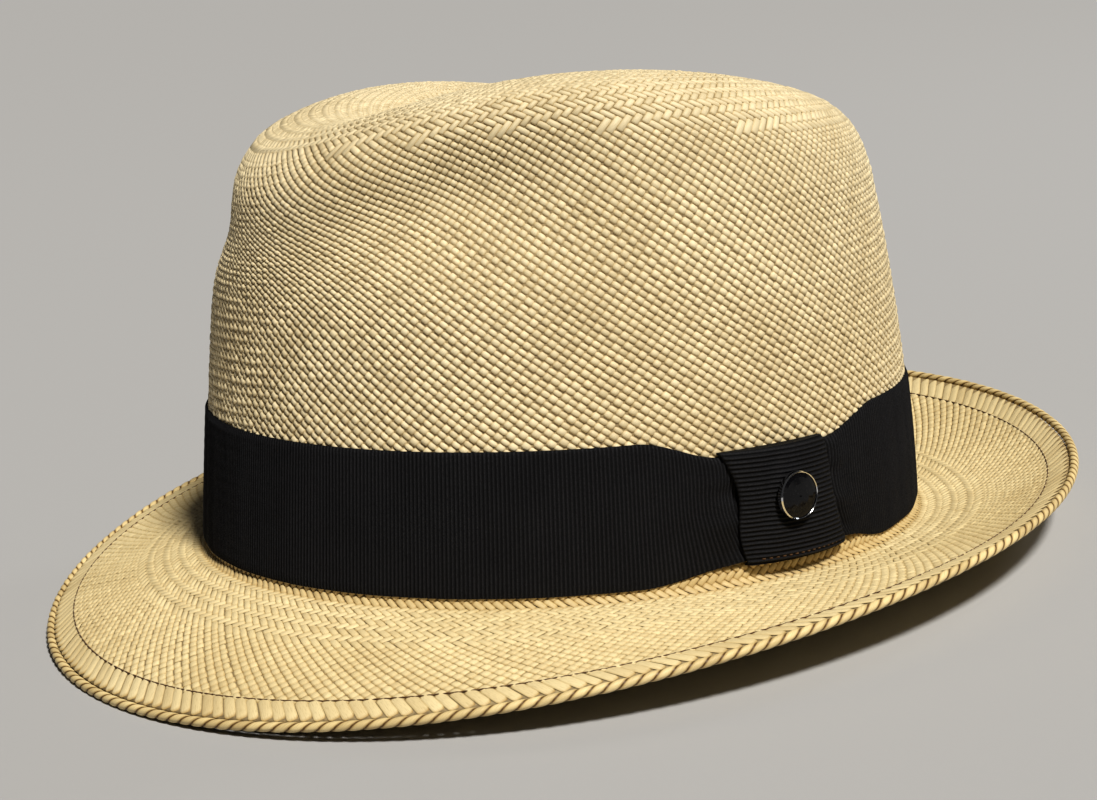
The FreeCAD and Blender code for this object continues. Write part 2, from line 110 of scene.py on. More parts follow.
def brim_xyz(theta, out):
    c, s = np.cos(theta), np.sin(theta)
    ix, iy = (WID + FILLET) * c, (LEN + FILLET) * s
    x = ix + out * (BRIM_WID * c - ix)
    y = iy + out * (BRIM_LEN * s - iy)
    straight = 0.45 - 0.2 * s
    return np.stack([x, y, edge_height(s) * (straight * out + (1.0 - straight) * out ** 2)], axis=-1)


# One meridian coordinate t, roughly millimetres of straw: the rim at -BRIM_T, the break's fillet
# from 0, the wall above it, then the crown's top down to its middle.
BRIM_T = 44.0
FILLET_T = FILLET * math.pi / 2.0
WALL_T = FILLET_T + SHOULDER - FILLET
PHI = np.linspace(0.0, math.pi / 2.0, 2001)
POWERS = np.linspace(3.4, 8.65, 36)
SHARE = np.linspace(0.0, 1.0, 1201)


def shoulder_curve(power):
    """Height, shrink and length over the shoulder and top for one sharpness of the shoulder."""
    c, s = np.cos(PHI), np.sin(PHI)
    reach = (np.abs(c) ** power + s ** power) ** (-1.0 / power)
    z = SHOULDER + (CROWN - SHOULDER) * reach * s
    m = wall_scale(z) * reach * np.abs(c)
    length = np.concatenate([[0.0], np.cumsum(np.hypot(np.diff(z), np.diff(m) * 95.0))])
    return (np.interp(SHARE, length / length[-1], z), np.interp(SHARE, length / length[-1], m), length[-1],
            np.interp(SHARE, length / length[-1], np.degrees(PHI)))


CURVES = [shoulder_curve(power) for power in POWERS]
CURVE_Z = np.array([c[0] for c in CURVES])
CURVE_M = np.array([c[1] for c in CURVES])
CURVE_TURN = np.array([c[3] for c in CURVES])
TOP_LENGTH = CURVES[8][2]


def front_turn(theta):
    """Degrees round from the middle of the front, -180 to 180."""
    return (np.degrees(theta) + 270.0) % 360.0 - 180.0


def over_shoulder(theta, share):
    front = np.exp(-0.5 * (front_turn(theta) / CREASE_SPREAD) ** 2)
    power = SHOULDER_POWER + FRONT_CREASE * front
    a = (power - POWERS[0]) / (POWERS[1] - POWERS[0])
    b = np.clip(share, 0.0, 1.0) * (len(SHARE) - 1)
    i, j = np.minimum(a.astype(int), len(POWERS) - 2), np.minimum(b.astype(int), len(SHARE) - 2)
    a, b = a - i, b - j
    values = []
    for table in (CURVE_Z, CURVE_M, CURVE_TURN):
        values.append((1 - a) * ((1 - b) * table[i, j] + b * table[i, j + 1])
                      + a * ((1 - b) * table[i + 1, j] + b * table[i + 1, j + 1]))
    ridge = CREASE_RISE * front * np.exp(-np.abs(values[2] - 45.0) / CREASE_TURN)
    return values[0], values[1], ridge


TOP_T = WALL_T + TOP_LENGTH


def straw(theta, t):
    """Outside of the straw at angle theta and meridian place t."""
    theta, t = np.broadcast_arrays(np.asarray(theta, float), np.asarray(t, float))
    out = np.empty(theta.shape + (3,))
    brim = t < 0.0
    out[brim] = brim_xyz(theta[brim], -t[brim] / BRIM_T)
    bend = (t >= 0.0) & (t < FILLET_T)
    a = math.pi / 2.0 * (1.0 - t[bend] / FILLET_T)
    k = wall_scale(FILLET)
    reach, z = FILLET * (1.0 - np.cos(a)), FILLET * (1.0 - np.sin(a))
    out[bend] = np.stack([(k * WID + reach) * np.cos(theta[bend]),
                          (k * LEN + reach) * np.sin(theta[bend]), z], axis=-1)
    wall = (t >= FILLET_T) & (t < WALL_T)
    z = FILLET + t[wall] - FILLET_T
    out[wall] = crown_xyz(theta[wall], wall_scale(z), z)
    top = t >= WALL_T
    z, m, ridge = over_shoulder(theta[top], (t[top] - WALL_T) / TOP_LENGTH)
    out[top] = crown_xyz(theta[top], m, z, ridge)
    return out


def straw_normal(theta, t, step=0.25):
    across = straw(theta + step / 100.0, t) - straw(theta - step / 100.0, t)
    along = straw(theta, t + step) - straw(theta, t - step)
    n = np.cross(across, along)
    return n / np.maximum(np.linalg.norm(n, axis=-1, keepdims=True), 1e-9)


def off_straw(theta, t, rise):
    return straw(theta, t) + straw_normal(theta, t) * np.asarray(rise)[..., None]


def wall_t(z):
    return FILLET_T + z - FILLET


def off_wall(theta, z, rise):
    """As the CAD has it: on the wall at height z, out by rise along the normal."""
    theta, z, rise = np.broadcast_arrays(np.asarray(theta, float), np.asarray(z, float),
                                         np.asarray(rise, float))
    step = 0.01

    def wall(a, h):
        return crown_xyz(a, wall_scale(h), h)

    n = np.cross(wall(theta + step, z) - wall(theta - step, z), wall(theta, z + step) - wall(theta, z - step))
    n /= np.linalg.norm(n, axis=-1, keepdims=True)
    return wall(theta, z) + n * rise[..., None]


# ------------------------------------------------------------------ small helpers
def chance(*keys):
    """A repeatable number from 0 to 1 for whole-number keys."""
    h = np.zeros(np.broadcast(*keys).shape, dtype=np.uint64) + np.uint64(0x9E3779B97F4A7C15)
    for key in keys:
        h = (h ^ np.asarray(key, dtype=np.int64).astype(np.uint64)) * np.uint64(0xBF58476D1CE4E5B9)
        h ^= h >> np.uint64(29)
    return (h >> np.uint64(11)).astype(np.float64) / float(1 << 53)


def add_piece(name, verts, faces, material, body="hat", uv=None, tints=None):
    """A mesh piece from row-frame metres, riding on a body."""
    mesh = bpy.data.meshes.new(name)
    faces = np.asarray(faces, dtype=np.int32)
    mesh.vertices.add(len(verts))
    mesh.vertices.foreach_set("co", np.asarray(verts, dtype=np.float32).ravel())
    mesh.loops.add(faces.size)
    mesh.loops.foreach_set("vertex_index", faces.ravel())
    mesh.polygons.add(len(faces))
    sides = faces.shape[1]
    mesh.polygons.foreach_set("loop_start", np.arange(0, faces.size, sides, dtype=np.int32))
    mesh.polygons.foreach_set("use_smooth", np.ones(len(faces), dtype=bool))
    mesh.update(calc_edges=True)
    if uv is not None:
        layer = mesh.uv_layers.new(name="strand")
        layer.data.foreach_set("uv", np.asarray(uv, dtype=np.float32)[faces.ravel()].ravel())
    if tints is not None:
        for key, values in tints.items():
            attr = mesh.attributes.new(key, "FLOAT", "POINT")
            attr.data.foreach_set("value", np.asarray(values, dtype=np.float32).ravel())
    mesh.validate()
    obj = bpy.data.objects.new(name, mesh)
    bpy.context.scene.collection.objects.link(obj)
    mesh.materials.append(material)
    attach(obj, body)
    return obj


def grid_faces(rows, cols, wrap_rows=False, wrap_cols=False, start=0):
    """Quads over a rows x cols grid of points numbered row by row."""
    i = np.arange(rows if wrap_rows else rows - 1)
    j = np.arange(cols if wrap_cols else cols - 1)
    a, b = np.meshgrid(i, j, indexing="ij")
    a2, b2 = (a + 1) % rows, (b + 1) % cols
    return start + np.stack([a * cols + b, a2 * cols + b, a2 * cols + b2, a * cols + b2], -1).reshape(-1, 4)


# ------------------------------------------------------------------ materials
def new_material(name):
    m = bpy.data.materials.new(name)
    m.use_nodes = True
    tree = m.node_tree
    shader = tree.nodes["Principled BSDF"]
    return m, tree, shader


def node(tree, kind, **values):
    n = tree.nodes.new(kind)
    for key, value in values.items():
        if key in n.inputs:
            n.inputs[key].default_value = value
        else:
            setattr(n, key, value)
    return n


def ramp(tree, source, stops):
    r = tree.nodes.new("ShaderNodeValToRGB")
    while len(r.color_ramp.elements) < len(stops):
        r.color_ramp.elements.new(0.5)
    for element, (at, colour) in zip(r.color_ramp.elements, stops):
        element.position = at
        element.color = (*colour, 1.0)
    tree.links.new(source, r.inputs["Fac"])
    return r.outputs["Color"]


def mix(tree, fac, a, b, mode="MIX"):
    m = tree.nodes.new("ShaderNodeMix")
    m.data_type = "RGBA"
    m.blend_type = mode
    for value, index in ((fac, 0), (a, 6), (b, 7)):
        if isinstance(value, (int, float)):
            m.inputs[index].default_value = value
        elif isinstance(value, tuple):
            m.inputs[index].default_value = (*value, 1.0)
        else:
            tree.links.new(value, m.inputs[index])
    return m.outputs[2]


def straw_material(name, pale, deep, painted_groove_shade, rough=0.5):
    """Woven straw: each strand's own tint, lengthwise fibres, and painted shade where strands dip under their
    neighbours and along their edges, wherever the lift attribute is low.
    """
    m, tree, shader = new_material(name)
    link = tree.links.new
    tint = node(tree, "ShaderNodeAttribute", attribute_name="tint")
    lift = node(tree, "ShaderNodeAttribute", attribute_name="lift")
    middle = tuple(0.5 * (a + b) for a, b in zip(deep, pale))
    palest = tuple(min(1.0, 1.08 * v) for v in pale)
    base = ramp(tree, tint.outputs["Fac"], [(0.0, deep), (0.35, middle), (0.8, pale), (1.0, palest)])
    uv = node(tree, "ShaderNodeUVMap", uv_map="strand")
    stretch = node(tree, "ShaderNodeMapping", Scale=(0.35, 5.0, 1.0))
    link(uv.outputs[0], stretch.inputs["Vector"])
    fibres = node(tree, "ShaderNodeTexNoise", Scale=1.6, Detail=4.0, Roughness=0.65)
    link(stretch.outputs[0], fibres.inputs["Vector"])
    streak = ramp(tree, fibres.outputs["Fac"], [(0.3, (0.70, 0.66, 0.58)), (0.5, (1.0, 1.0, 1.0)),
                                                (0.72, (1.06, 1.05, 1.02))])
    col = mix(tree, 0.75, base, streak, "MULTIPLY")
    coords = node(tree, "ShaderNodeTexCoord")
    patches = node(tree, "ShaderNodeTexNoise", Scale=28.0, Detail=2.0)
    link(coords.outputs["Object"], patches.inputs["Vector"])
    patch = ramp(tree, patches.outputs["Fac"], [(0.35, (0.93, 0.91, 0.87)), (0.65, (1.03, 1.03, 1.03))])
    col = mix(tree, 1.0, col, patch, "MULTIPLY")
    # painted shade: the colour is darkened towards the groove colour where the lift attribute is low
    dip = ramp(tree, lift.outputs["Fac"], [(0.30, painted_groove_shade), (0.62, (0.80, 0.75, 0.66)),
                                           (0.88, (1.0, 1.0, 1.0))])
    col = mix(tree, 1.0, col, dip, "MULTIPLY")
    link(col, shader.inputs["Base Color"])
    rough_mix = ramp(tree, fibres.outputs["Fac"], [(0.3, (rough + 0.14,) * 3), (0.7, (rough - 0.06,) * 3)])
    link(rough_mix, shader.inputs["Roughness"])
    bump = node(tree, "ShaderNodeBump", Strength=0.35, Distance=0.00012)
    link(fibres.outputs["Fac"], bump.inputs["Height"])
    link(bump.outputs[0], shader.inputs["Normal"])
    shader.inputs["Specular IOR Level"].default_value = 0.35
    return m


# the third colour of each straw is the painted shade for its grooves and crevices
CROWN_STRAW = straw_material("crown_straw", (0.80, 0.695, 0.47), (0.63, 0.53, 0.335), (0.17, 0.12, 0.06))
BRIM_STRAW = straw_material("brim_straw", (0.78, 0.655, 0.39), (0.68, 0.55, 0.31), (0.50, 0.38, 0.20))
CORD_STRAW = straw_material("cord_straw", (0.78, 0.63, 0.34), (0.55, 0.42, 0.21), (0.16, 0.10, 0.05))


# ------------------------------------------------------------------ weaving
ACROSS = np.array([-1.0, -0.60, 0.60, 1.0])
ACROSS_LIFT = np.array([0.10, 0.90, 0.90, 0.10])


def span_table():
    """Meridian place t against s, the length measured in radii, so that the lattice keeps its angles."""
    t = np.concatenate([np.linspace(-BRIM_T, 0, 600), np.linspace(0, TOP_T - 0.5, 3000)[1:]])
    mid = np.empty_like(t)
    brim = t < 0
    mid[brim] = 97.3 + (136.7 - 97.3) * (-t[brim] / BRIM_T)
    wall = (t >= 0) & (t < WALL_T)
    mid[wall] = 95.0 * wall_scale(np.maximum(t[wall] - FILLET_T + FILLET, 0.0))
    top = t >= WALL_T
    mid[top] = 95.0 * np.interp((t[top] - WALL_T) / TOP_LENGTH, SHARE, CURVE_M[8])
    s = np.concatenate([[0.0], np.cumsum(np.diff(t) / (0.5 * (mid[1:] + mid[:-1])))])
    return t, s - np.interp(0.0, t, s)


SPAN_T, SPAN_S = span_table()


def s_at(t):
    return float(np.interp(t, SPAN_T, SPAN_S))


def weave(name, t0, t1, count_a, count_b, slope_a, slope_b, over_a, material, height, base,
          wide=(1.0, 0.95), tall=(1.0, 0.82), side=1.0, halves=1, slot="straw", seed=1, wobble=0.07,
          longest=4, crisp=1.0):
    """Interlaced strands between meridian places t0 and t1.  Strands of family a climb as theta grows,
    those of family b fall.  over_a(i, j, t, theta) says where a lies on top; each run on top is one
    float.  side -1 puts them on the inner or lower face; halves is how many pieces they go into."""
    s0, s1 = s_at(t0), s_at(t1)
    gather = 1.0 / slope_a + 1.0 / slope_b

    def place(p, q):
        turn_p, turn_q = TAU * p / count_a, TAU * q / count_b
        s = (turn_q - turn_p) / gather
        return turn_p + s / slope_a, np.interp(s, SPAN_S, SPAN_T), s

    def on_top(i, j):
        theta, t, s = place(i + 0.5, j + 0.5)
        inside = (s >= s0) & (s <= s1)
        return over_a(i, j, t, theta), inside

    i0 = np.arange(count_a)[:, None]
    steps = int((s1 - s0) * gather * count_b / TAU) + 3
    first = np.floor((s0 * gather + TAU * (i0 + 0.5) / count_a) * count_b / TAU - 0.5).astype(int)
    j0 = first + np.arange(-1, steps)[None, :]
    i0 = np.broadcast_to(i0, j0.shape)
    floats = []
    for family in (0, 1):
        di, dj = (0, 1) if family == 0 else (1, 0)
        top, inside = on_top(i0, j0)
        top_before, inside_before = on_top(i0 - di, j0 - dj)
        mine = (top == (family == 0)) & inside
        before = (top_before == (family == 0)) & inside_before
        starts = mine & ~before
        i, j = i0[starts], j0[starts]
        run = np.ones(len(i), dtype=int)
        alive = np.ones(len(i), dtype=bool)
        for k in range(1, longest):
            nxt, ok = on_top(i + di * k, j + dj * k)
            alive &= (nxt == (family == 0)) & ok
            run += alive
        floats.append((np.full(len(i), family), i, j, run))
    fam, i, j, run = (np.concatenate(parts) for parts in zip(*floats))
    is_a = fam == 0
    strand = np.where(is_a, i % count_a, j % count_b)
    rnd_strand = chance(strand, fam, np.full(len(i), seed))
    rnd_width = chance(strand, fam, np.full(len(i), seed + 7))
    rnd_float = chance(i, j, fam, np.full(len(i), seed + 3))
    centre_p = i + np.where(is_a, 0.5, 0.5 * run)
    centre_q = j + np.where(is_a, 0.5 * run, 0.5)
    shift = (chance(strand, fam, np.full(len(i), seed + 11)) - 0.5) * 2.0 * wobble
    reach = 0.5 * run
    tail, flank = np.where(is_a, 0.10, 0.22), np.where(is_a, 0.05, 0.02)
    ends = np.stack([-reach - tail, -reach + flank, -reach + 0.28,
                     reach - 0.28, reach - flank, reach + tail], 1)
    drop = np.where(is_a, crisp, 0.0)[:, None]
    end_lift = (np.array([[-0.15, 0.52, 1.0, 1.0, 0.52, -0.15]])
                + drop * np.array([[-0.75, 0.02, 0.0, 0.0, 0.02, -0.75]]))
    half = 0.5 * np.where(is_a, wide[0], wide[1]) * (0.90 + 0.18 * rnd_width)
    along = ends[:, :, None] + 0.0 * ACROSS[None, None, :]
    pinch = np.array([0.80, 0.94, 1.0, 1.0, 0.94, 0.80])
    across = half[:, None, None] * ACROSS[None, None, :] * pinch[None, :, None] + shift[:, None, None]
    p = centre_p[:, None, None] + np.where(is_a[:, None, None], across, along)
    q = centre_q[:, None, None] + np.where(is_a[:, None, None], along, across)
    theta, t, _ = place(p, q)
    tallness = height * np.where(is_a, tall[0], tall[1]) * (0.85 + 0.3 * rnd_float)
    lift = end_lift[:, :, None] - (1.0 - ACROSS_LIFT)[None, None, :] * 0.85
    rise = side * (base + tallness[:, None, None] * lift)
    points = off_straw(theta, t, rise + (0.0 if side > 0 else -STRAW))
    tint = np.clip(0.62 * rnd_strand + 0.38 * rnd_float, 0, 1)[:, None, None] + 0.0 * lift
    # painted shadow: in the strip by the break, up the fillet to just under the ribbon's lower edge, lift is
    # lowered by up to 35 percent, so the straw there is painted darker
    painted_break_shade = 1.0 - 0.35 * smooth((t + 1.0) / 1.6) * (t < 8.0)
    cell = TAU * 95.0 / count_a * 0.72
    uv = np.stack([along * cell + (rnd_strand * 90.0)[:, None, None],
                   across * cell + (strand * 3.7)[:, None, None]], axis=-1)
    rows, cols = 6, 4
    cell_faces = grid_faces(rows, cols)
    if side < 0:
        cell_faces = cell_faces[:, ::-1]
    mid = theta[:, 2, 1] % TAU
    for part in range(halves):
        pick = (mid >= TAU * part / halves) & (mid < TAU * (part + 1) / halves)
        n = int(pick.sum())
        verts = to_row(points[pick].reshape(-1, 3))
        faces = (np.arange(n) * rows * cols)[:, None, None] + cell_faces[None]
        label = name if halves == 1 else "%s_%d" % (name, part + 1)
        # the two families run across each other, so one of them is turned over to face out
        faces = np.where(is_a[pick][:, None, None], faces[:, :, ::-1], faces)
        # the lift attribute carries each strand's height, with the painted shadow at the break, to the
        # material, which paints low lift as shade
        add_piece(label, verts, faces.reshape(-1, 4), material, uv=uv[pick].reshape(-1, 2),
                  tints={"tint": tint[pick], "lift": ((0.5 + 0.5 * lift) * painted_break_shade)[pick]})


def plain(i, j, t, theta):
    return (i + j) % 2 == 0


def crown_rows(i, j, t, theta):
    """Plain weave on the side, courses of herringbone over the top, starting later at the front."""
    limit = EDGE_T + 15.0 * np.exp(-0.5 * (front_turn(theta) / 42.0) ** 2)
    return np.where(t > limit, (i - j) % 4 < 2, (i + j) % 2 == 0)


EDGE_T = WALL_T + 21.0
RIBBON_TOP_T = wall_t(35.0)
INSIDE_T = wall_t(30.0)
MIDDLE_T, CENTRE_T = TOP_T - 36.0, TOP_T - 3.0
# strands of each family all round, then their slopes
CROWN_LATTICE = (206, 182, 1.15, 0.727)
MIDDLE_LATTICE = (100, 88, 1.15, 0.727)
BRIM_LATTICE = (248, 248, 0.95, 0.85)
HEM_LATTICE = (240, 240, 0.95, 1.25)

weave("crown_side_weave", RIBBON_TOP_T - 4.0, WALL_T + 8.0, *CROWN_LATTICE, plain, CROWN_STRAW,
      0.78, -0.34, wide=(1.01, 0.80), tall=(1.0, 0.80), halves=3)
weave("crown_top_weave", WALL_T + 8.0, MIDDLE_T, *CROWN_LATTICE, crown_rows, CROWN_STRAW,
      0.66, -0.30, wide=(0.97, 0.90), tall=(1.0, 0.9), halves=3)
weave("crown_middle_weave", MIDDLE_T - 1.0, CENTRE_T, *MIDDLE_LATTICE, plain, CROWN_STRAW,
      0.50, -0.24, halves=2)


def brim_rows(i, j, t, theta):
    return np.where(t > -19.0, (i - j) % 4 < 2, (i + j) % 2 == 0)


def hem_rows(i, j, t, theta):
    """Between the hem line and the rim only the falling family shows."""
    return np.zeros(np.shape(i), dtype=bool)


HEM_T = -0.86 * BRIM_T
weave("brim_top_weave", HEM_T - 0.6, wall_t(4.5), *BRIM_LATTICE, brim_rows, BRIM_STRAW,
      0.40, -0.16, wide=(0.98, 0.98), tall=(0.9, 1.0), halves=2)
weave("brim_hem_weave", -BRIM_T + 0.3, HEM_T, *HEM_LATTICE, hem_rows, BRIM_STRAW,
      0.30, -0.12, wide=(0.98, 1.02), tall=(1.0, 1.0), longest=12)

# the same straw seen from below and from inside the crown, above the sweatband
weave("brim_under_weave", -BRIM_T + 0.3, 1.0, *BRIM_LATTICE, brim_rows, BRIM_STRAW,
      0.34, -0.16, wide=(0.98, 0.98), tall=(0.9, 1.0), side=-1.0, halves=2, seed=21)
weave("crown_inner_weave", INSIDE_T, MIDDLE_T, *CROWN_LATTICE, crown_rows, CROWN_STRAW,
      0.50, -0.26, wide=(0.98, 0.90), tall=(1.0, 0.9), side=-1.0, halves=4, seed=31)
weave("crown_inner_middle_weave", MIDDLE_T - 1.0, CENTRE_T, *MIDDLE_LATTICE, plain, CROWN_STRAW,
      0.50, -0.24, side=-1.0, halves=2, seed=41)


# ------------------------------------------------------------------ straw core under the weave
def core():
    """The closed skin that backs the weave, a little inside the straw's own surfaces."""
    around = 288
    theta = np.arange(around) * TAU / around
    t = np.concatenate([np.linspace(-BRIM_T + 0.15, 0, 34), np.linspace(0, FILLET_T, 6)[1:],
                        np.linspace(FILLET_T, WALL_T, 36)[1:], np.linspace(WALL_T, TOP_T - 1.2, 70)[1:]])
    grid_t, grid_a = np.meshgrid(t, theta, indexing="ij")
    outer = off_straw(grid_a, grid_t, np.full(grid_t.shape, -0.26))
    inner = off_straw(grid_a, grid_t, np.full(grid_t.shape, -STRAW + 0.26))
    rows = len(t)
    verts = np.concatenate([outer.reshape(-1, 3), inner.reshape(-1, 3)])
    faces = [grid_faces(rows, around, wrap_cols=True)[:, ::-1],
             grid_faces(rows, around, wrap_cols=True, start=rows * around)]
    j = np.arange(around)
    j2 = (j + 1) % around
    base = rows * around
    faces.append(np.stack([j, j2, base + j2, base + j], -1)[:, ::-1])
    tip = [verts[(rows - 1) * around:rows * around].mean(0), verts[-around:].mean(0)]
    verts = np.concatenate([verts, np.array(tip)])
    last, n = (rows - 1) * around, len(verts)
    tip_out, tip_in = np.full(around, n - 2), np.full(around, n - 1)
    faces.append(np.stack([last + j, last + j2, tip_out, tip_out], -1))
    faces.append(np.stack([base + last + j2, base + last + j, tip_in, tip_in], -1))
    quads = np.concatenate(faces[:3])
    mesh_faces = [tuple(int(v) for v in f) for f in quads]
    mesh_faces += [tuple(int(v) for v in f[:3]) for f in np.concatenate(faces[3:])]
    mesh = bpy.data.meshes.new("straw_core")
    mesh.from_pydata([tuple(v) for v in to_row(verts)], [], mesh_faces)
    mesh.polygons.foreach_set("use_smooth", np.ones(len(mesh.polygons), dtype=bool))
    mesh.update()
    obj = bpy.data.objects.new("straw_core", mesh)
    bpy.context.scene.collection.objects.link(obj)
    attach(obj, "hat")
    return obj


# painted shade: the backing skin is coloured dark brown for the shade seen through the gaps between strands;
# the speckle in it is random tone
m, tree, shader = new_material("straw_backing_painted_shade")
coords = node(tree, "ShaderNodeTexCoord")
speck = node(tree, "ShaderNodeTexNoise", Scale=900.0, Detail=3.0)
tree.links.new(coords.outputs["Object"], speck.inputs["Vector"])
tree.links.new(ramp(tree, speck.outputs["Fac"], [(0.3, (0.22, 0.16, 0.08)), (0.7, (0.38, 0.29, 0.15))]),
               shader.inputs["Base Color"])
shader.inputs["Roughness"].default_value = 0.8
straw_core = core()
straw_core.data.materials.append(m)
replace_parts(straw_core, "straw_body")

# ------------------------------------------------------------------ ribbon and knot
KNOT = math.radians(4.4)
KNOT_Z, KNOT_HALF_W, KNOT_HALF_H = 19.3, 16.3, 13.7
LEAN = math.tan(math.radians(13.0))
KNOT_STEP = off_wall(KNOT + 0.01, KNOT_Z, 0.0) - off_wall(KNOT - 0.01, KNOT_Z, 0.0)
KNOT_ARC = float(np.linalg.norm(KNOT_STEP) / 0.02)
RIB = 1.1


def ribbon_points(theta, v, inner=False):
    """The band at angle theta, v from 0 at its lower edge to 1 at its upper one."""
    turn = (theta - KNOT + math.pi) % TAU - math.pi
    along = turn * KNOT_ARC
    away = np.abs(along)
    past = np.maximum(away - KNOT_HALF_W, 0.0)
    free = smooth(past / 26.0)
    low = (KNOT_Z - 13.3) + free * (2.3 - (KNOT_Z - 13.3))
    high = (KNOT_Z + 13.3) + free * (38.2 - (KNOT_Z + 13.3))
    z = low + (high - low) * v
    near = np.exp(-(past / 13.0) ** 1.5)
    bend = near * (LEAN * (z - KNOT_Z) + 1.3 * np.sin(math.pi * (v * 1.9 - 0.35)))
    swell = 0.9 * np.exp(-((away - KNOT_HALF_W - 4.0) / 4.0) ** 2)
    if inner:
        return off_wall(theta - bend / KNOT_ARC, z, 0.14)
    folds = 0.42 * np.cos(TAU * (2.15 * v + 0.12 + 0.02 * past)) + 0.12 * np.cos(TAU * 5.3 * v)
    pleat = np.exp(-(past / 9.0) ** 2) * folds
    ripple = 0.10 * np.sin(3.1 * theta * 9.0 + 2.0 * v) * free
    edge = np.minimum(v, 1.0 - v) * (high - low)
    inside = smooth(edge / 0.9)
    rib = 0.20 * np.cos(TAU * along / RIB) * (0.35 + 0.65 * inside)
    weft = 0.03 * np.cos(TAU * z / 0.62)
    rise = 0.87 + swell * 0.85 + pleat * 0.9 + ripple + rib + weft - 0.22 * (1.0 - inside)
    return off_wall(theta - bend / KNOT_ARC, z, rise)


def ribbon():
    """The grosgrain band, its ribs upright, drawn together under the knot."""
    count = 2860
    theta = KNOT + np.arange(count) * TAU / count
    v = np.concatenate([[0.0, 0.012], np.linspace(0.03, 0.97, 23), [0.988, 1.0]])
    gv, gt = np.meshgrid(v, theta, indexing="ij")
    outer = ribbon_points(gt, gv)
    coarse = theta[::10]
    cv, cth = np.meshgrid(v[::2], coarse, indexing="ij")
    inner = ribbon_points(cth, cv, inner=True)
    rows, back_rows, back_cols = len(v), len(v[::2]), len(coarse)
    front = grid_faces(rows, count, wrap_cols=True)[:, ::-1]
    back = grid_faces(back_rows, back_cols, wrap_cols=True, start=rows * count)
    # crest is the ribs' phase, 1 on a rib and 0 between ribs; the material paints shade between the ribs from
    # it
    crest = 0.5 + 0.5 * np.cos(TAU * ((gt - KNOT + math.pi) % TAU - math.pi) * KNOT_ARC / RIB)
    add_piece("ribbon_band_cloth", to_row(outer.reshape(-1, 3)), front, GROSGRAIN,
              tints={"crest": crest})
    lip = []
    for row, crow in ((0, 0), (rows - 1, back_rows - 1)):
        edge = outer[row]
        line = ribbon_points(theta, np.full(count, v[row]), inner=True)
        ring = np.concatenate([edge, line])
        faces = grid_faces(2, count, wrap_cols=True)
        lip.append((ring, faces if row == 0 else faces[:, ::-1]))
    verts = np.concatenate([inner.reshape(-1, 3)] + [r for r, _ in lip])
    faces = [back - rows * count]
    start = len(inner.reshape(-1, 3))
    for ring, ring_faces in lip:
        faces.append(ring_faces + start)
        start += len(ring)
    return add_piece("ribbon_band_back", to_row(verts), np.concatenate(faces), GROSGRAIN)


def knot_rise(along, up):
    bulge = 1.0 - (along / KNOT_HALF_W) ** 2
    return 1.75 + 2.35 * bulge + 0.4 * np.maximum(1.0 - (up / KNOT_HALF_H) ** 2, 0.0) * bulge


def knot():
    """The ribbon's own end, wrapped once over the join: its ribs lie along the band."""
    across = np.linspace(-1.0, 1.0, 67)
    half = KNOT_HALF_H + 0.9
    span = np.linspace(-half, half, 290)
    hook = np.linspace(0.0, 1.0, 10)[:-1]
    up = np.concatenate([np.full(9, -half), span, np.full(9, half)])
    fall = np.concatenate([1.0 - hook, np.zeros(len(span)), np.linspace(0.0, 1.0, 10)[1:]])
    gu, ga = np.meshgrid(up, across, indexing="ij")
    gf = np.broadcast_to(fall[:, None], gu.shape)
    s_curve = 1.15 * np.sin(math.pi * gu / half) * (0.7 - 0.3 * ga)
    pinch = 1.0 - 0.035 * np.cos(math.pi * gu / half)
    along = ga * KNOT_HALF_W * pinch + s_curve
    edge = smooth((1.0 - np.abs(ga)) * KNOT_HALF_W / 1.1)
    rib = 0.20 * np.cos(TAU * (gu + 0.018 * along) / 1.16) * (0.3 + 0.7 * edge) * (gf == 0)
    crease = (-0.35 * np.exp(-((along + 9.0 - 0.5 * gu) / 2.2) ** 2)
              + 0.22 * np.exp(-((along + 4.5 - 0.45 * gu) / 3.0) ** 2))
    crease *= smooth((half - np.abs(gu)) / 3.0)
    top = knot_rise(np.clip(along, -KNOT_HALF_W, KNOT_HALF_W), np.clip(gu, -KNOT_HALF_H, KNOT_HALF_H)) + 0.82
    rise = top * (1.0 - gf) + 0.3 * gf + rib + crease * (1.0 - gf) - 0.35 * (1.0 - edge)
    round_off = smooth((half - np.abs(gu)) / 1.4)
    rise = rise - 0.5 * (1.0 - round_off) * (1.0 - gf)
    theta = KNOT + (along - LEAN * gu) / KNOT_ARC
    outer = off_wall(theta, KNOT_Z + gu, rise)
    under = off_wall(KNOT + (along * 0.985 - LEAN * gu) / KNOT_ARC, KNOT_Z + gu * 0.955,
                     np.maximum(rise - 0.85, 0.28))
    rows, cols = gu.shape
    n = rows * cols
    verts = np.concatenate([outer.reshape(-1, 3), under.reshape(-1, 3)])
    faces = [grid_faces(rows, cols)[:, ::-1], grid_faces(rows, cols, start=n)]
    i, j = np.arange(rows - 1), np.arange(cols - 1)
    for k in (0, cols - 1):
        side = np.stack([i * cols + k, (i + 1) * cols + k, n + (i + 1) * cols + k, n + i * cols + k], -1)
        faces.append(side if k == 0 else side[:, ::-1])
    for k in (0, rows - 1):
        side = np.stack([k * cols + j, k * cols + j + 1, n + k * cols + j + 1, n + k * cols + j], -1)
        faces.append(side[:, ::-1] if k == 0 else side)
    # crest is the ribs' phase, from which the material paints shade between the ribs
    crest = 0.5 + 0.5 * np.cos(TAU * (gu + 0.018 * along) / 1.16)
    return add_piece("knot_wrap_cloth", to_row(verts), np.concatenate(faces), GROSGRAIN,
                     tints={"crest": np.concatenate([crest.ravel(), crest.ravel()])})


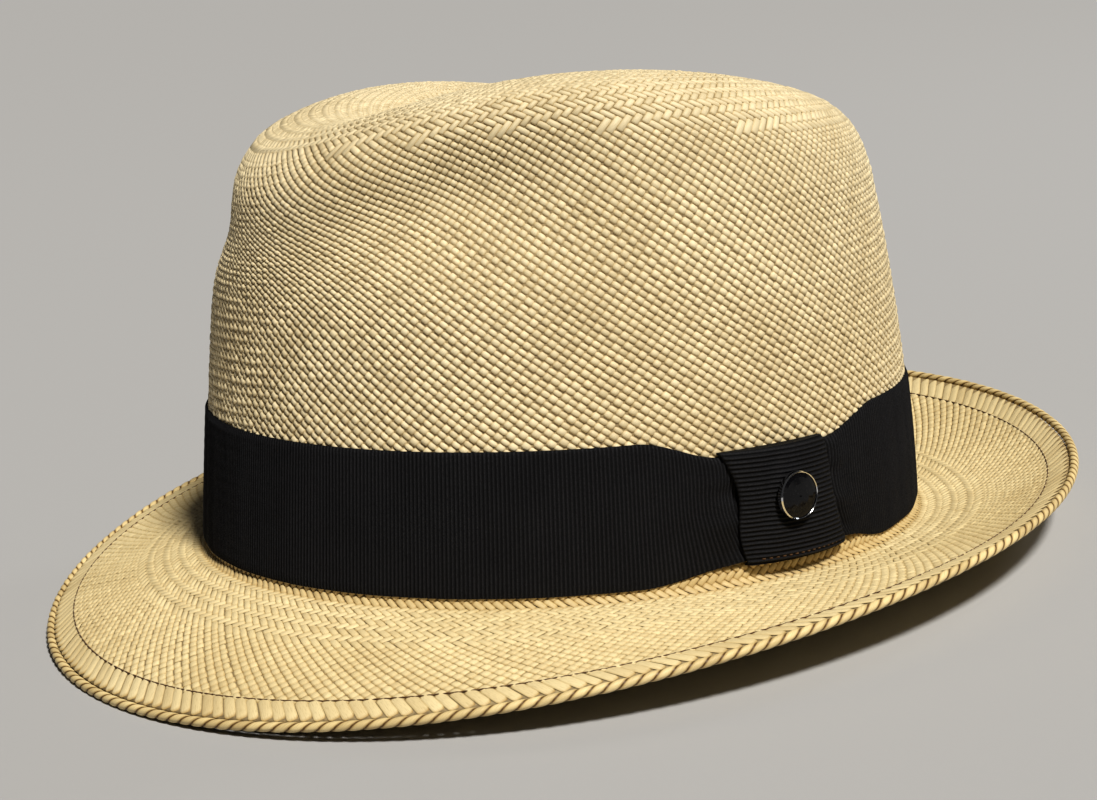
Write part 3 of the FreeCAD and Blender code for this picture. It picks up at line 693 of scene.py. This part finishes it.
def tube(centres, radius, sides=8, closed=True):
    """Verts and faces of a round thread through centres (n x 3, mm)."""
    centres = np.asarray(centres)
    n = len(centres)
    ahead = np.roll(centres, -1, 0) - np.roll(centres, 1, 0)
    if not closed:
        ahead[0], ahead[-1] = centres[1] - centres[0], centres[-1] - centres[-2]
    ahead /= np.linalg.norm(ahead, axis=1, keepdims=True)
    ref = np.where(np.abs(ahead[:, 2:3]) < 0.9, np.array([[0, 0, 1.0]]), np.array([[1.0, 0, 0]]))
    u = np.cross(ref, ahead)
    u /= np.linalg.norm(u, axis=1, keepdims=True)
    w = np.cross(ahead, u)
    a = np.arange(sides) * TAU / sides
    r = np.broadcast_to(np.asarray(radius, float), (n,))[:, None, None]
    ring = centres[:, None] + r * (np.cos(a)[None, :, None] * u[:, None]
                                   + np.sin(a)[None, :, None] * w[:, None])
    faces = grid_faces(n, sides, wrap_rows=closed, wrap_cols=True)
    return ring.reshape(-1, 3), faces[:, ::-1]


def gathered_tubes(parts):
    verts, faces, start = [], [], 0
    for v, f in parts:
        verts.append(v)
        faces.append(f + start)
        start += len(v)
    return np.concatenate(verts), np.concatenate(faces)


def stitches(place, count, gap=0.35, radius=0.2, dip=0.25, steps=7):
    """A row of short stitches: place(a, rise) gives points for a from 0 to 1."""
    parts = []
    for k in range(count):
        a = (k + np.linspace(0.5 * gap, 1.0 - 0.5 * gap, steps)) / count
        lift = radius * 0.6 - dip * np.abs(np.linspace(-1, 1, steps)) ** 3
        taper = np.sqrt(1.0 - 0.75 * np.linspace(-1, 1, steps) ** 4)
        parts.append(tube(place(a, lift), radius * taper, 6, closed=False))
    return gathered_tubes(parts)


def cloth_material(name, colour, bright, scale=5200.0, sheen=0.25, rough=0.75, ribbed=False):
    """Ribbed silk or cotton: fine yarn grain, faint wear, a little sheen; ribbed cloth also gets painted
    shade in the troughs between its ribs.
    """
    m, tree, shader = new_material(name)
    coords = node(tree, "ShaderNodeTexCoord")
    yarn = node(tree, "ShaderNodeTexNoise", Scale=scale, Detail=3.0, Roughness=0.6)
    tree.links.new(coords.outputs["Object"], yarn.inputs["Vector"])
    grain = ramp(tree, yarn.outputs["Fac"], [(0.35, colour), (0.62, bright)])
    dust = node(tree, "ShaderNodeTexNoise", Scale=60.0, Detail=4.0)
    tree.links.new(coords.outputs["Object"], dust.inputs["Vector"])
    film = ramp(tree, dust.outputs["Fac"], [(0.3, (0.85, 0.85, 0.86)), (0.7, (1.1, 1.1, 1.1))])
    col = mix(tree, 1.0, grain, film, "MULTIPLY")
    if ribbed:
        # painted shade: the colour falls to about a third between ribs, where the crest attribute is low
        crest = node(tree, "ShaderNodeAttribute", attribute_name="crest")
        painted_rib_shade = ramp(tree, crest.outputs["Fac"], [(0.25, (0.35, 0.35, 0.36)), (0.9, (1.0, 1.0, 1.0))])
        col = mix(tree, 1.0, col, painted_rib_shade, "MULTIPLY")
    tree.links.new(col, shader.inputs["Base Color"])
    tree.links.new(ramp(tree, yarn.outputs["Fac"], [(0.3, (rough + 0.12,) * 3), (0.7, (rough - 0.1,) * 3)]),
                   shader.inputs["Roughness"])
    bump = node(tree, "ShaderNodeBump", Strength=0.4, Distance=0.00008)
    tree.links.new(yarn.outputs["Fac"], bump.inputs["Height"])
    tree.links.new(bump.outputs[0], shader.inputs["Normal"])
    shader.inputs["Specular IOR Level"].default_value = 0.14
    shader.inputs["Sheen Weight"].default_value = sheen
    shader.inputs["Sheen Roughness"].default_value = 0.4
    return m


GROSGRAIN = cloth_material("grosgrain", (0.0045, 0.0045, 0.0054), (0.0260, 0.0262, 0.0295), sheen=0.0,
                           ribbed=True)
BROWN_THREAD = cloth_material("brown_thread", (0.055, 0.028, 0.012), (0.13, 0.07, 0.035), sheen=0.1)
PALE_THREAD = cloth_material("pale_thread", (0.62, 0.55, 0.42), (0.82, 0.76, 0.62), sheen=0.2)
SATIN = cloth_material("satin_bow", (0.008, 0.008, 0.009), (0.03, 0.03, 0.034), sheen=0.35, rough=0.45)
LABEL = cloth_material("label_cloth", (0.72, 0.69, 0.62), (0.86, 0.84, 0.78), scale=2600.0)

band_cloth = ribbon()
knot_cloth = knot()
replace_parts(band_cloth, "ribbon_band")
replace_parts(knot_cloth, "knot_wrap")


def on_knot(a, lift):
    along = (a - 0.5) * KNOT_HALF_W * 1.7
    up = -KNOT_HALF_H + 0.55
    return off_wall(KNOT + (along - LEAN * up) / KNOT_ARC, KNOT_Z + up,
                    knot_rise(along, up) + 0.68 + lift)


verts, faces = stitches(on_knot, 15, gap=0.5, radius=0.22)
tacks = add_piece("knot_tacking_stitches", to_row(verts), faces, BROWN_THREAD)
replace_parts(tacks, "knot_stitches")


# ------------------------------------------------------------------ rim cord and hem
def rim_cord():
    """Strands carried slantwise over the brim's edge, one beside the next, all the way round."""
    fine = 4096
    t = np.arange(fine) * TAU / fine
    edge = brim_xyz(t, np.ones(fine))
    out = edge - brim_xyz(t, np.full(fine, 0.98))
    out /= np.linalg.norm(out, axis=1, keepdims=True)
    cross = np.stack([np.cos(t) / BRIM_WID, np.sin(t) / BRIM_LEN, 0 * t], 1)
    cross /= np.linalg.norm(cross, axis=1, keepdims=True)
    plan = np.hypot(out[:, 0], out[:, 1])
    out = np.stack([cross[:, 0] * plan, cross[:, 1] * plan, out[:, 2]], 1)
    below = np.stack([-cross[:, 0] * out[:, 2], -cross[:, 1] * out[:, 2], plan], 1) * -0.75
    centre = edge + out * 1.25 + below
    length = np.concatenate([[0.0], np.cumsum(np.linalg.norm(np.roll(centre, -1, 0) - centre, axis=1))])
    count = int(length[-1] / RIM_PITCH)
    at = (np.arange(count * 12) / 12.0) * length[-1] / count
    u = np.interp(at, length, np.append(t, TAU))
    whole = np.append(t, TAU)
    c = np.stack([np.interp(u, whole, np.append(centre[:, k], centre[0, k])) for k in range(3)], 1)
    ahead = np.roll(c, -1, 0) - np.roll(c, 1, 0)
    ahead /= np.linalg.norm(ahead, axis=1, keepdims=True)
    lift = np.array([[0, 0, 1.0]])
    side = np.cross(ahead, lift)
    side /= np.linalg.norm(side, axis=1, keepdims=True)
    upward = np.cross(side, ahead)
    ribs = 18
    a = np.arange(ribs) * TAU / ribs
    phase = at * count / length[-1]
    strand = phase[:, None] - 2.0 * a[None, :] / TAU
    wave = np.abs(np.cos(math.pi * strand)) ** 0.6
    which = np.floor(strand + 0.5).astype(int)
    jitter = chance(which, np.full(which.shape, 5))
    r = RIM_R * (0.80 + 0.26 * wave + 0.05 * (jitter - 0.5))
    pts = c[:, None] + r[:, :, None] * (np.cos(a)[None, :, None] * side[:, None]
                                        + np.sin(a)[None, :, None] * upward[:, None])
    faces = grid_faces(len(c), ribs, wrap_rows=True, wrap_cols=True)
    tint = 0.25 + 0.7 * jitter
    uv = np.stack([np.broadcast_to(a[None, :], r.shape), strand * 2.0], -1)
    # painted shade: lift is each strand's own rounded profile, so the material paints the crevices between
    # strands dark
    return add_piece("brim_edge_twist", to_row(pts.reshape(-1, 3)), faces, CORD_STRAW,
                     uv=uv.reshape(-1, 2), tints={"tint": tint, "lift": wave})


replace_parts(rim_cord(), "brim_edge_cord")


def on_hem(a, lift):
    theta = TAU * a
    return off_straw(theta, np.full(theta.shape, HEM_T), 0.05 + 0.5 * lift)


verts, faces = tube(on_hem(np.arange(1600) / 1600.0, 0.12 * np.cos(np.arange(1600) * TAU / 4.0)), 0.20, 6)
hem = add_piece("brim_hem_line", to_row(verts), faces, BROWN_THREAD)
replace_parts(hem, "brim_hem_thread")


# ------------------------------------------------------------------ inside and the pin
def leather_material(name, colour, dark, rough):
    """Smooth dyed leather: fine grain, soft blotches, faint creases."""
    m, tree, shader = new_material(name)
    coords = node(tree, "ShaderNodeTexCoord")
    grain = node(tree, "ShaderNodeTexVoronoi", Scale=1500.0)
    blotch = node(tree, "ShaderNodeTexNoise", Scale=35.0, Detail=5.0)
    for n in (grain, blotch):
        tree.links.new(coords.outputs["Object"], n.inputs["Vector"])
    base = ramp(tree, blotch.outputs["Fac"], [(0.3, dark), (0.7, colour)])
    pores = ramp(tree, grain.outputs["Distance"], [(0.0, (0.72, 0.70, 0.68)), (0.35, (1.0, 1.0, 1.0))])
    tree.links.new(mix(tree, 0.7, base, pores, "MULTIPLY"), shader.inputs["Base Color"])
    tree.links.new(ramp(tree, blotch.outputs["Fac"], [(0.3, (rough + 0.1,) * 3), (0.7, (rough - 0.06,) * 3)]),
                   shader.inputs["Roughness"])
    bump = node(tree, "ShaderNodeBump", Strength=0.35, Distance=0.0001)
    tree.links.new(grain.outputs["Distance"], bump.inputs["Height"])
    tree.links.new(bump.outputs[0], shader.inputs["Normal"])
    return m


def metal_material(name, colour, rough, scratches=900.0):
    """Polished metal with hairline scratches."""
    m, tree, shader = new_material(name)
    coords = node(tree, "ShaderNodeTexCoord")
    stretch = node(tree, "ShaderNodeMapping", Scale=(1.0, 14.0, 1.0))
    tree.links.new(coords.outputs["Object"], stretch.inputs["Vector"])
    lines = node(tree, "ShaderNodeTexNoise", Scale=scratches, Detail=3.0)
    tree.links.new(stretch.outputs[0], lines.inputs["Vector"])
    tree.links.new(ramp(tree, lines.outputs["Fac"], [(0.4, (rough,) * 3), (0.75, (rough + 0.14,) * 3)]),
                   shader.inputs["Roughness"])
    tone = tuple(0.92 * c for c in colour)
    tree.links.new(ramp(tree, lines.outputs["Fac"], [(0.3, tone), (0.7, colour)]),
                   shader.inputs["Base Color"])
    shader.inputs["Metallic"].default_value = 1.0
    return m


def enamel_material():
    """Glossy black enamel with the faintest dust and handling marks."""
    m, tree, shader = new_material("black_enamel")
    coords = node(tree, "ShaderNodeTexCoord")
    dust = node(tree, "ShaderNodeTexNoise", Scale=2400.0, Detail=2.0)
    marks = node(tree, "ShaderNodeTexNoise", Scale=240.0, Detail=4.0)
    for n in (dust, marks):
        tree.links.new(coords.outputs["Object"], n.inputs["Vector"])
    specks = ramp(tree, dust.outputs["Fac"], [(0.6, (0.004, 0.004, 0.005)), (0.85, (0.03, 0.03, 0.03))])
    tree.links.new(specks, shader.inputs["Base Color"])
    tree.links.new(ramp(tree, marks.outputs["Fac"], [(0.35, (0.05, 0.05, 0.05)), (0.75, (0.16, 0.16, 0.16))]),
                   shader.inputs["Roughness"])
    shader.inputs["Specular IOR Level"].default_value = 0.2
    shader.inputs["Coat Weight"].default_value = 0.12
    shader.inputs["Coat Roughness"].default_value = 0.03
    return m


LEATHER = leather_material("sweatband_leather", (0.33, 0.185, 0.09), (0.25, 0.135, 0.065), 0.42)
PIPING = leather_material("reed_piping", (0.24, 0.13, 0.065), (0.17, 0.09, 0.045), 0.38)
STEEL = metal_material("polished_steel", (0.80, 0.80, 0.82), 0.07)
BRASS = metal_material("brass_clutch", (0.78, 0.58, 0.27), 0.22)
ENAMEL = enamel_material()
for name, look in (("sweatband", LEATHER), ("sweatband_reed", PIPING), ("sweatband_bow", SATIN),
                   ("size_label", LABEL), ("badge_bezel", STEEL), ("badge_post", STEEL),
                   ("badge_clutch", BRASS), ("badge_enamel", ENAMEL)):
    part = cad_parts[name]
    part.data.materials.clear()
    part.data.materials.append(look)


def on_sweatband(a, lift):
    theta = TAU * a
    return off_wall(theta, np.full(theta.shape, 5.6), -(STRAW + 0.4 + 1.0) - 0.06 - lift)


verts, faces = stitches(on_sweatband, 190, gap=0.28, radius=0.24, dip=0.3, steps=6)
sewing = add_piece("sweatband_sewing", to_row(verts), faces, PALE_THREAD)
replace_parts(sewing, "sweatband_stitching")


# ------------------------------------------------------------------ stage, lights, camera
def stage_floor():
    mesh = bpy.data.meshes.new("floor")
    r = 6.0
    mesh.from_pydata([(-r, -r, 0), (r, -r, 0), (r, r, 0), (-r, r, 0)], [], [(0, 1, 2, 3)])
    obj = bpy.data.objects.new("floor", mesh)
    bpy.context.scene.collection.objects.link(obj)
    m, tree, shader = new_material("pale_floor")
    shader.inputs["Base Color"].default_value = (0.42, 0.42, 0.425, 1.0)
    shader.inputs["Roughness"].default_value = 0.9
    mesh.materials.append(m)


stage_floor()
world = bpy.data.worlds.new("studio")
world.use_nodes = True
world.node_tree.nodes["Background"].inputs["Color"].default_value = (1.0, 1.0, 1.0, 1.0)
world.node_tree.nodes["Background"].inputs["Strength"].default_value = 0.04
bpy.context.scene.world = world
bpy.context.scene.view_settings.view_transform = "Standard"
bpy.context.scene.view_settings.look = "Medium High Contrast"


def area_light(name, place, aim, size, power, colour=(1, 1, 1)):
    lamp = bpy.data.lights.new(name, "AREA")
    lamp.shape = "DISK"
    lamp.size = size
    lamp.energy = power
    lamp.color = colour
    obj = bpy.data.objects.new(name, lamp)
    obj.location = place
    obj.rotation_euler = (Vector(aim) - Vector(place)).to_track_quat("-Z", "Y").to_euler()
    bpy.context.scene.collection.objects.link(obj)


# Photograph's viewing angle, in the hat's level frame: azimuth, elevation, roll and distance.
AZ, EL, ROLL = (math.radians(v) for v in (56.3, 11.6, -1.2))
DISTANCE, FOCAL_PX, AIM_X, AIM_Z = 658.7, 2344.3, -5.5, 31.5
back = np.array([math.sin(AZ) * math.cos(EL), -math.cos(AZ) * math.cos(EL), math.sin(EL)])
right = np.array([math.cos(AZ), math.sin(AZ), 0.0])
up = np.cross(back, right)
right, up = (math.cos(ROLL) * right + math.sin(ROLL) * up, -math.sin(ROLL) * right + math.cos(ROLL) * up)
eye = to_row((DISTANCE * back + AIM_X * right + AIM_Z * up)[None])[0]
turn = turn_only(np.array([right, up, back]))
camera_data = bpy.data.cameras.new("camera")
camera_data.sensor_width = 36.0
camera_data.lens = 36.0 * FOCAL_PX / IMAGE_W
camera_data.clip_start, camera_data.clip_end = 0.01, 50.0
camera = bpy.data.objects.new("camera", camera_data)
bpy.context.scene.collection.objects.link(camera)
camera.matrix_world = Matrix([[turn[0][k], turn[1][k], turn[2][k], eye[k]] for k in range(3)]
                             + [[0, 0, 0, 1]])
bpy.context.scene.camera = camera

sun = bpy.data.lights.new("key", "SUN")
sun.energy = 3.7
sun.angle = math.radians(9.0)
sun.color = (1.0, 0.965, 0.90)
key = bpy.data.objects.new("key", sun)
key.rotation_euler = Vector((0.62, -0.02, 0.86)).to_track_quat("Z", "Y").to_euler()
bpy.context.scene.collection.objects.link(key)
area_light("side", (0.10, 1.25, 0.75), (0.0, 0.0, 0.08), 0.30, 1.2, (0.90, 0.95, 1.0))
